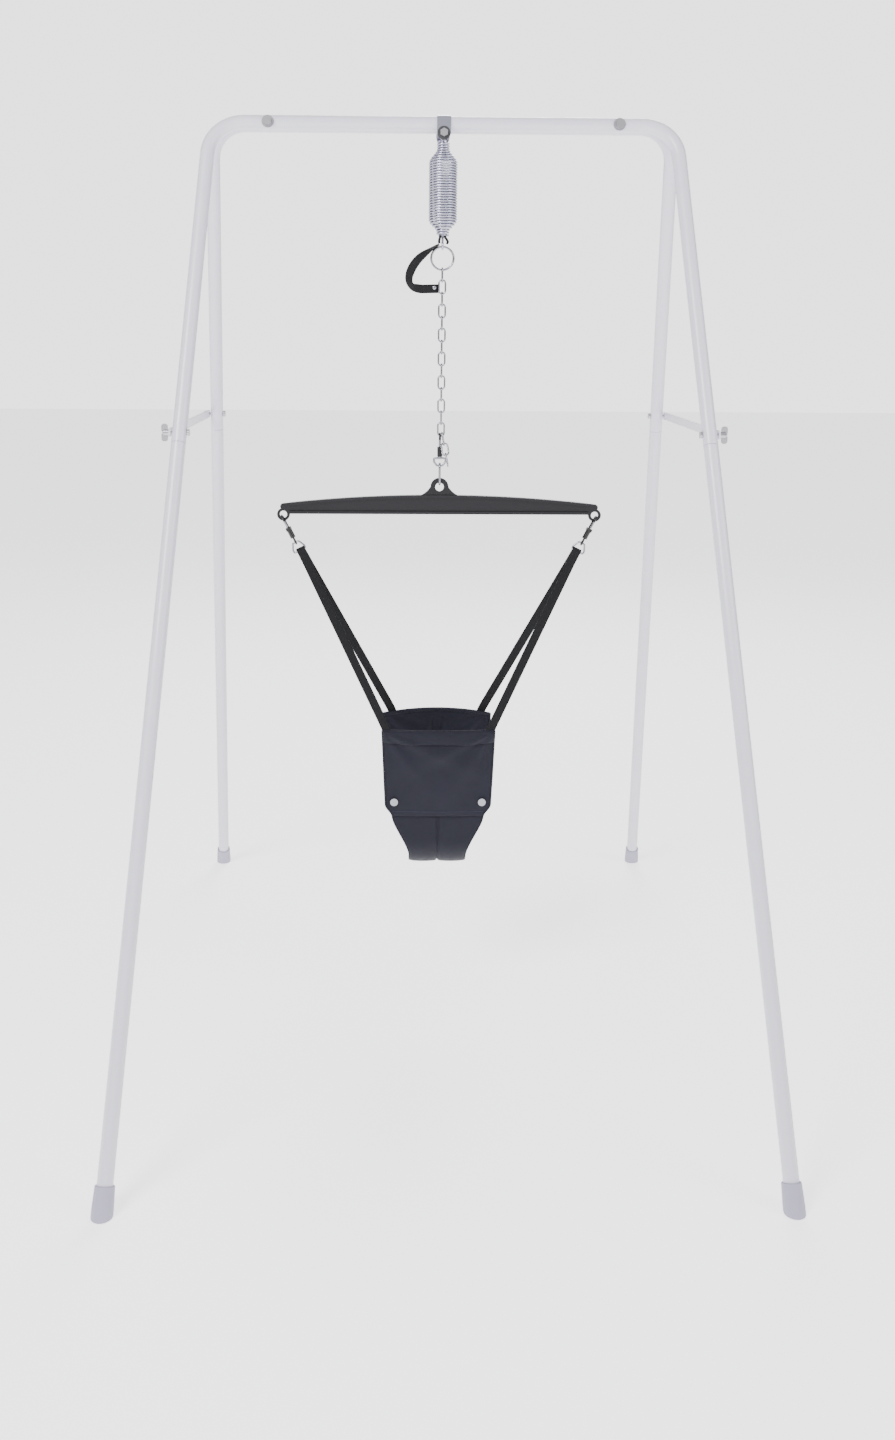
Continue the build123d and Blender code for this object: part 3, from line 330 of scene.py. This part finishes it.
# %% Round wire and cord along a route
def wire(name, route, radius, material):
    """A round bar that follows a list of points, made from a bevelled curve."""
    curve = bpy.data.curves.new(name, "CURVE")
    curve.dimensions = "3D"
    curve.bevel_depth = radius
    curve.bevel_resolution = 2
    curve.use_fill_caps = True
    line = curve.splines.new("POLY")
    line.points.add(len(route) - 1)
    for point, spot in zip(line.points, route):
        point.co = (*spot, 1)
    piece = bpy.data.objects.new(name, curve)
    bpy.context.collection.objects.link(piece)
    deselect()
    piece.select_set(True)
    bpy.context.view_layer.objects.active = piece
    bpy.ops.object.convert(target="MESH")
    piece = bpy.context.object
    bpy.ops.object.shade_smooth()
    piece.data.materials.clear()
    piece.data.materials.append(material)
    return piece


# %% [markdown]
# ## The coil spring
#
# The real spring is one length of steel wire, wound close, with a narrow neck at each end. A loop winds it
# here: the wire's radius follows the neck, the shoulder and the body, with a small gap between turns.

# %% Wind the spring
spring_low, spring_high = (Vector(corner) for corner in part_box("coil_spring"))
WIRE = 2.0 * MM
BODY_R = (spring_high.x - spring_low.x) / 2 - WIRE
NECK_R = 9.8 * MM
COIL_PITCH = 4.6 * MM
STEPS = 28


def ease(value):
    value = min(max(value, 0), 1)
    return value * value * (3 - 2 * value)


def coil_radius(height):
    """Radius of the wire's middle at a height above the spring's foot."""
    length = spring_high.z - spring_low.z
    rise = ease((height - 7 * MM) / (21 * MM))
    fall = ease((length - height - 14 * MM) / (25 * MM))
    return NECK_R + (BODY_R - NECK_R) * min(rise, fall)


def spring_route():
    length = spring_high.z - spring_low.z - 2 * WIRE
    count = int(length / COIL_PITCH * STEPS)
    for step in range(count + 1):
        turn = step / STEPS * 2 * pi
        height = length * step / count
        radius = coil_radius(height + WIRE)
        yield (radius * cos(turn), radius * sin(turn), spring_low.z + WIRE + height)


spring = wire("coil_spring_wire", list(spring_route()), WIRE, finishes["spring_steel"])
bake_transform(spring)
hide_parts("coil_spring")
print("turns:", round((spring_high.z - spring_low.z) / COIL_PITCH))

# %% [markdown]
# ## The safety loop and strap
#
# A black cord passes through the spring as a safety line and shows below it as a small arch. From the
# ring, a flat webbing strap runs out and back to the chain, so the seat is still held if the ring opens.
# The strap twists on its way: edge-on at the ring, and face-on where it is riveted round the chain link.

# %% The cord arch under the spring
foot = spring_low.z
arch_route = [
    Vector((-6.0 * MM, -4 * MM, foot - 13 * MM)),
    Vector((-6.5 * MM, -5 * MM, foot - 8 * MM)),
    Vector((-4.0 * MM, -5 * MM, foot - 1 * MM)),
    Vector((0.5 * MM, -5 * MM, foot + 1.5 * MM)),
    Vector((5.0 * MM, -5 * MM, foot - 3 * MM)),
    Vector((9.5 * MM, -4 * MM, foot - 10 * MM)),
    Vector((8.0 * MM, -1 * MM, foot - 13 * MM)),
]
CORD_R = 2.3 * MM
ARCH_STEPS = 30
arch_line = [along_path(arch_route, i / ARCH_STEPS) for i in range(ARCH_STEPS + 1)]
arch = wire("safety_cord", arch_line, CORD_R, finishes["black_webbing"])
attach(arch, "spring_bottom")
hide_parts("safety_loop")

# %% The twisting safety strap
ring = centre("suspension_ring")
STRAP_HALF = 8
STRAP_THICK = 1.6 * MM
# Each station is across and up from the ring's centre in millimetres, then the twist in degrees.
RING_ROUTE = [
    (-6.5, 25.2, 12),
    (-22, 15.8, 25),
    (-42, 1, 62),
    (-56, -17, 80),
    (-62, -36, 55),
    (-57, -50, 40),
    (-42, -55, 80),
    (-24, -55, 90),
    (-7, -54.5, 90),
]


def safety_strap_place(across, along):
    centres = [Vector((x, 0, z)) for x, z, turn in RING_ROUTE]
    turns = [Vector((turn, 0, 0)) for x, z, turn in RING_ROUTE]
    here = along_path(centres, along)
    ahead = along_path(centres, min(along + 0.01, 1)) - along_path(centres, max(along - 0.01, 0))
    ahead.normalize()
    turn = radians(along_path(turns, along).x)
    flat = Vector((-ahead.z, 0, ahead.x))
    width = Vector((0, -1, 0)) * cos(turn) + flat * sin(turn)
    spot = here + width * across * STRAP_HALF
    spot.y += 3.2 * ease((along - 0.93) / 0.07)
    return ring + spot * MM


strap = laid_sheet(
    "safety_strap_webbing", 6, 60, (0.016, 0.2), safety_strap_place, STRAP_THICK, finishes["black_webbing"], 0
)
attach(strap, "chain")
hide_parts("safety_strap")

# %% Its rivet
deselect()
bpy.ops.mesh.primitive_uv_sphere_add(segments=24, ring_count=12, radius=3.6 * MM)
rivet = bpy.context.object
rivet.name = "safety_strap_rivet"
for point in rivet.data.vertices:
    point.co = ring + Vector((-14.5 * MM + point.co.x, -0.9 * MM + point.co.y * 0.4, -53 * MM + point.co.z))
bpy.ops.object.shade_smooth()
rivet.data.materials.append(finishes["bright_chain"])
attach(rivet, "chain")
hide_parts("strap_rivet")
print("safety strap and rivet made")

# %% [markdown]
# ## The sling seat
#
# The seat is two padded cloth panels joined by a narrow crotch piece, hung from four corners. Cloth held
# at its corners is tight along its top edge and falls in soft diagonal folds below them, and it bellies
# out a little in the middle. Formulas push each grid point by those folds.

# %% Sizes of the sling
PANEL_THICK = 3.6 * MM
BAND_THICK = 2.0 * MM
CROTCH_THICK = 4.2 * MM
panel_low, panel_high = (Vector(corner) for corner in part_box("seat_front_panel"))
crotch_low, crotch_high = (Vector(corner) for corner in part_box("seat_crotch"))
back_high = Vector(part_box("seat_back_panel")[1])
seat_x = (panel_low.x + panel_high.x) / 2
half_top = (panel_high.x - panel_low.x) / 2
half_hem = (crotch_high.x - crotch_low.x) / 2
face_top = -panel_low.y - 3 * MM
face_low = face_top - 4 * MM
hem_z = panel_low.z
rim_z = panel_high.z


def panel_half(drop):
    """Half width of a panel at a share of its height below the rim."""
    straight = half_top - 6.5 * MM * min(drop / 0.88, 1)
    corner = ease((drop - 0.86) / 0.14)
    return straight - corner * (straight - half_hem)


def fold_fan(reach, drop):
    """Ridges that fan out from a corner, given the reach across from it and the drop below it."""
    fall = drop * 1.7
    angle = atan2(fall, reach + 0.02)
    length = hypot(reach, fall)
    fade = length * exp(1 - length * 1.3) * (1 - drop)
    high = exp(-(((angle - 0.42) / 0.13) ** 2))
    low = 0.7 * exp(-(((angle - 0.95) / 0.15) ** 2))
    return (high + low) * fade


def folds(across, drop):
    """Outward push of the cloth: a belly, fans of folds from both corners, and fine creases."""
    belly = 6.0 * (1 - across * across) * sin(pi * min(drop * 0.9, 1))
    pull = 9.0 * (fold_fan(1 + across, drop) + fold_fan(1 - across, drop))
    crease = 0.9 * sin(across * 9 + drop * 7) * drop * (1 - drop)
    return (belly + pull + crease) * MM


# %% The front panel
def front_place(across, along):
    drop = 1 - along
    half = panel_half(drop)
    sag = 3 * MM * (1 - across * across) * (1 - drop)
    outward = face_top + (face_low - face_top) * drop + folds(across, drop)
    return (seat_x + across * half, -outward, rim_z - sag - drop * (rim_z - hem_z))


navy = finishes["navy_fabric"]
front = laid_sheet("front_panel_cloth", 40, 36, (0.21, 0.175), front_place, PANEL_THICK, navy)
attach(front, "seat")
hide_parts("seat_front_panel")


# %% The band along the front's rim
def band_place(across, along):
    drop = (1 - along) * 0.13
    x, y, z = front_place(across, 1 - drop)
    lip = 2.6 * MM * sin(pi * along) ** 0.7
    return (x, y - 4.8 * MM - lip, z + 1.5 * MM * along - 2.5 * MM * (1 - along) * (1 - across * across))


band = laid_sheet("front_band_cloth", 40, 8, (0.21, 0.021), band_place, BAND_THICK, navy)
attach(band, "seat")
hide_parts("seat_front_band")


# %% The back panel, with its arched rim
def back_place(across, along):
    drop = 1 - along
    half = panel_half(drop)
    arch = (back_high.z - rim_z) * (1 - across * across) * (1 - drop)
    pleat = exp(-(((across - 0.09) / 0.045) ** 2)) + exp(-(((across + 0.07) / 0.045) ** 2))
    tuck = 8.0 * MM * pleat * ease((drop - 0.07) / 0.08) * (1 - drop)
    outward = face_top + (face_low - face_top) * drop + folds(across, drop) * 0.8 + tuck
    return (seat_x + across * half, outward, rim_z + arch - drop * (rim_z - hem_z))


back = laid_sheet("back_panel_cloth", 40, 36, (0.21, 0.185), back_place, PANEL_THICK, navy)
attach(back, "seat")
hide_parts("seat_back_panel")


# %% The crotch piece, which turns under from front to back
def crotch_place(across, along):
    """Along runs from behind the front hem, round the bottom, to behind the back hem."""
    bend = face_low - 1 * MM
    top = hem_z + 12 * MM
    middle = crotch_low.z + 2.2 * MM + bend
    straight = top - middle
    arc = pi * bend
    travel = along * (2 * straight + arc)
    if travel < straight:
        y, z = -bend, top - travel
    elif travel < straight + arc:
        turn = (travel - straight) / bend
        y, z = -bend * cos(turn), middle - bend * sin(turn)
    else:
        y, z = bend, middle + (travel - straight - arc)
    depth = min(max(hem_z - z, 0) / (hem_z - crotch_low.z), 1)
    half = half_hem - (half_hem - 54 * MM) * ease(min(depth / 0.8, 1)) ** 0.8
    tucked = 4 * MM * ease((z - hem_z + 3 * MM) / (8 * MM))
    lobe = 3.0 * MM * (abs(sin(pi * across)) ** 0.5 - 1)
    groove = 4.0 * MM * exp(-((across / 0.035) ** 2))
    inward = (tucked - lobe + groove) / bend
    lift = (groove - lobe) * depth**3
    hidden = 3 * MM * ease((z - hem_z) / (6 * MM))
    return (seat_x + across * (half - hidden), y * (1 - inward * 0.6), z + lift)


crotch = laid_sheet("crotch_cloth", 48, 60, (0.13, 0.4), crotch_place, CROTCH_THICK, navy)
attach(crotch, "seat")
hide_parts("seat_crotch")
print("sling panels made")

# %% [markdown]
# ## Hems and stitching
#
# A hem is the cloth's edge rolled over and sewn down, so it shows as a rounded cord along the edge with a
# row of stitches beside it. The hems follow the same formulas as the panels.


# %% Rolled hems
def hem(name, points, radius):
    piece = wire(name, points, radius, navy)
    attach(piece, "seat")
    return piece


SHARES = [i / 40 for i in range(41)]
RIM_OFFSET = Vector((0, -2.2 * MM, 1 * MM))
hem("front_rim_hem", [Vector(front_place(2 * s - 1, 1.0)) + RIM_OFFSET for s in SHARES], 2.6 * MM)
hem("back_rim_hem", [back_place(2 * s - 1, 0.985) for s in SHARES], 4.2 * MM)
for side, title in ((-1, "left"), (1, "right")):
    hem(f"front_side_hem_{title}", [front_place(side, s) for s in SHARES], 2.5 * MM)
    hem(f"back_side_hem_{title}", [back_place(side, s) for s in SHARES], 2.5 * MM)
    hem(f"crotch_side_hem_{title}", [crotch_place(side, s) for s in SHARES], 2.6 * MM)


# %% Rows of stitches
thread = hard_finish("Sewing thread", (0.03, 0.03, 0.07), 0.0, 0.6)


def stitches(name, place, start, stop, count, outward):
    """Short stitches along a line across or down a panel, joined as one piece."""
    deselect()
    made = []
    for index in range(count):
        share = (index + 0.5) / count
        half_gap = 0.32 / count
        ends = []
        for end in (share - half_gap, share + half_gap):
            across = start[0] + (stop[0] - start[0]) * end
            along = start[1] + (stop[1] - start[1]) * end
            ends.append(Vector(place(across, along)) + outward)
        run = ends[1] - ends[0]
        bpy.ops.mesh.primitive_cube_add(size=1)
        stitch = bpy.context.object
        turn = run.to_track_quat("X", "Z").to_matrix().to_4x4()
        size = Matrix.Diagonal((run.length, 0.5 * MM, 0.5 * MM, 1))
        stitch.data.transform(Matrix.Translation((ends[0] + ends[1]) / 2) @ turn @ size)
        made.append(stitch)
    deselect()
    for stitch in made:
        stitch.select_set(True)
    bpy.context.view_layer.objects.active = made[0]
    bpy.ops.object.join()
    piece = bpy.context.object
    piece.name = name
    piece.data.materials.append(thread)
    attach(piece, "seat")
    return piece


stitches("front_band_stitch", front_place, (-0.95, 0.885), (0.95, 0.885), 46, Vector((0, -5.0 * MM, 0)))
stitches("front_hem_stitch", front_place, (-0.95, 0.06), (0.95, 0.06), 46, Vector((0, -2.1 * MM, 0)))
stitches("back_rim_stitch", back_place, (-0.95, 0.95), (0.95, 0.95), 46, Vector((0, 2.1 * MM, 0)))
print("hems and stitches made")

# %% [markdown]
# ## Webbing straps
#
# Each strap starts with a short tail, turns round the D ring's bar, and runs down to its panel's corner,
# where its last stretch lies flat on the cloth. The front pair ends under the band.


# %% One strap from ring to panel
WEB_HALF = 8.2 * MM
WEB_THICK = 1.7 * MM


def ring_bar(hand):
    """Middle of the straight bar at the bottom of a D ring."""
    low, high = (Vector(corner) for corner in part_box(f"d_ring_{hand}"))
    side = -1 if hand == "left" else 1
    return Vector(((low.x + high.x) / 2 - side * 4.0 * MM, 0, low.z + 7.2 * MM))


def strap_stations(hand, end):
    side = -1 if hand == "left" else 1
    bar = ring_bar(hand)
    half = half_top - (9 * MM if end < 0 else 19 * MM)
    rim = rim_z if end < 0 else rim_z + (back_high.z - rim_z) * 0.35
    land = Vector((seat_x + side * half, end * (face_top + 2.8 * MM), rim))
    run = land - bar
    down = run.normalized()
    across = Vector((0, 1, 0)).cross(run).normalized()
    out = across.cross(down) * (1 if across.cross(down).y * end > 0 else -1)
    round_bar = 3.0 * MM if end > 0 else 5.2 * MM
    stations = []
    for share in (0.0, 0.34, 0.67):
        stations.append(bar + down * (40 - 34 * share) * MM - out * (1.0 + 1.4 * share) * MM)
    for turn in range(-80, 81, 40):
        angle = radians(turn)
        stations.append(bar - down * cos(angle) * round_bar + out * sin(angle) * round_bar)
    for share in (0.06, 0.15, 0.3, 0.5, 0.7, 0.85, 0.96):
        stations.append(bar + run * share + out * 1.4 * MM)
    stations.append(land + Vector((0, 0, -2 * MM)))
    stations.append(land + Vector((-side * 0.6 * MM, 0, -10 * MM)))
    stations.append(land + Vector((-side * 1.2 * MM, 0, -19 * MM)))
    return stations, across


def seat_strap(hand, end, node):
    stations, width = strap_stations(hand, end)

    def place(across, along):
        spot = along_path(stations, along)
        landing = ease((along - 0.86) / 0.1)
        level = Vector((1 if width.x > 0 else -1, 0, 0))
        direction = (width * (1 - landing) + level * landing).normalized()
        return spot + direction * across * WEB_HALF

    webbing = finishes["black_webbing"]
    piece = laid_sheet(f"{node}_webbing", 6, 90, (0.0165, 0.46), place, WEB_THICK, webbing, 0)
    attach(piece, "seat")
    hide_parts(node)
    return piece


for hand in ("left", "right"):
    seat_strap(hand, -1, f"front_strap_{hand}")
    seat_strap(hand, 1, f"back_strap_{hand}")
print("straps made")

# %% [markdown]
# ## Floor, light and camera
#
# A wide pale floor and a white backdrop give the clean look of a catalogue picture. The surroundings that
# light the scene are dimmer at the sides, so round metal and tubes get darker edges, and the floor glows a
# little so that it stays white far away. Three large soft lamps shape the pieces. The camera stands in front
# of the stand, a little to its left, and looks down slightly.

# %% The stage
deselect()
bpy.ops.mesh.primitive_plane_add(size=60)
floor = bpy.context.object
floor.name = "floor"
pale = hard_finish("Pale floor", (0.9, 0.9, 0.905), 0.0, 0.95, 20, 0.0, 0.0, 0.0, 0.1)
glow = pale.node_tree.nodes["Principled BSDF"]
glow.inputs["Emission Color"].default_value = (1, 1, 1, 1)
glow.inputs["Emission Strength"].default_value = 1.5
floor.data.materials.append(pale)

world = bpy.data.worlds.new("Pale studio")
world.use_nodes = True
sky = world.node_tree
sky.nodes.clear()
heading = sky.nodes.new("ShaderNodeTexCoord")
parts = sky.nodes.new("ShaderNodeSeparateXYZ")
sky.links.new(heading.outputs["Generated"], parts.inputs[0])
sideways = math_node(sky, "POWER", math_node(sky, "ABSOLUTE", parts.outputs["X"], 0), 1.5)
dimming = math_node(sky, "MULTIPLY", sideways, 1.1)
walls = math_node(sky, "SUBTRACT", 1.15, dimming)
surround = sky.nodes.new("ShaderNodeBackground")
sky.links.new(walls, surround.inputs["Strength"])
backdrop = sky.nodes.new("ShaderNodeBackground")
backdrop.inputs["Color"].default_value = (1, 1, 1, 1)
backdrop.inputs["Strength"].default_value = 2.6
surround.inputs["Color"].default_value = (0.97, 0.98, 1, 1)
seen = sky.nodes.new("ShaderNodeLightPath")
choose = sky.nodes.new("ShaderNodeMixShader")
sky.links.new(seen.outputs["Is Camera Ray"], choose.inputs[0])
sky.links.new(surround.outputs[0], choose.inputs[1])
sky.links.new(backdrop.outputs[0], choose.inputs[2])
result = sky.nodes.new("ShaderNodeOutputWorld")
sky.links.new(choose.outputs[0], result.inputs["Surface"])
bpy.context.scene.world = world


def soft_lamp(name, spot, aim, size, power):
    light = bpy.data.lights.new(name, "AREA")
    light.shape = "DISK"
    light.size = size
    light.energy = power
    lamp = bpy.data.objects.new(name, light)
    bpy.context.collection.objects.link(lamp)
    direction = Vector(aim) - Vector(spot)
    lamp.matrix_world = Matrix.Translation(spot) @ direction.to_track_quat("-Z", "Y").to_matrix().to_4x4()


soft_lamp("key", (-2.2, -2.8, 3.6), (0, 0, 0.8), 1.8, 190)
soft_lamp("fill", (3.0, -1.8, 2.6), (0, 0, 0.6), 2.0, 60)
soft_lamp("rim", (0.6, 3.4, 3.6), (0, 0, 0.6), 2.0, 120)

# %% The camera
EYE = Vector((-0.0834, -2.5636, 1.2871))
YAW = 0.018
PITCH = 0.1908
ROLL = 0.0058
ahead = Vector((sin(YAW) * cos(PITCH), cos(YAW) * cos(PITCH), -sin(PITCH)))
level = Vector((cos(YAW), -sin(YAW), 0))
upright = level.cross(ahead)
right = level * cos(ROLL) + upright * sin(ROLL)
up = upright * cos(ROLL) - level * sin(ROLL)
lens = bpy.data.cameras.new("front view")
lens.lens = 33.5
lens.sensor_width = 36
lens.shift_x = 0.0189
lens.shift_y = -0.0729
camera = bpy.data.objects.new("front view", lens)
bpy.context.collection.objects.link(camera)
turned = Matrix((right, up, -ahead)).transposed().to_4x4()
camera.matrix_world = Matrix.Translation(EYE) @ turned
bpy.context.scene.camera = camera
print("camera set")
